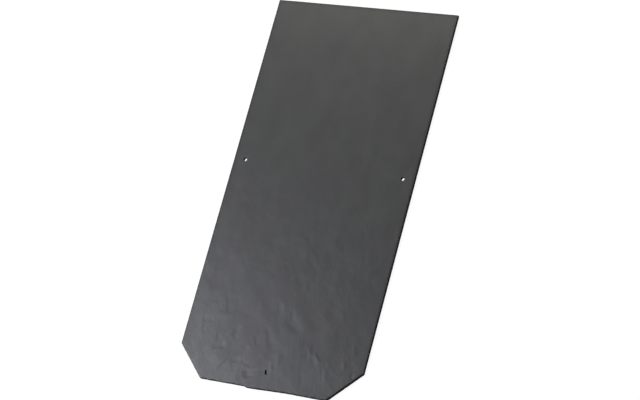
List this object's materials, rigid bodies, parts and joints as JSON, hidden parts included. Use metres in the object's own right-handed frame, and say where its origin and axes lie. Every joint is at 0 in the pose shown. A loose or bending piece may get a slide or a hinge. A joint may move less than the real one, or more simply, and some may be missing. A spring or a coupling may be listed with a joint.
{
  "type": "slate roof tile",
  "caption": "Flat rectangular roofing slate with both tail corners trimmed at 45 degrees, punched for two side nails and a tail rivet.",
  "frame": {"origin": "on the bed (the underside), under the middle of the sheet", "axes": "+X across the slate, +Y up the roof from the tail to the head, +Z out of the weathering face"},
  "size_m": [0.3, 0.6, 0.005],
  "materials": {
    "slate": "satin"
  },
  "bodies": {
    "root": {"slate": "slate"}
  },
  "joints": []
}
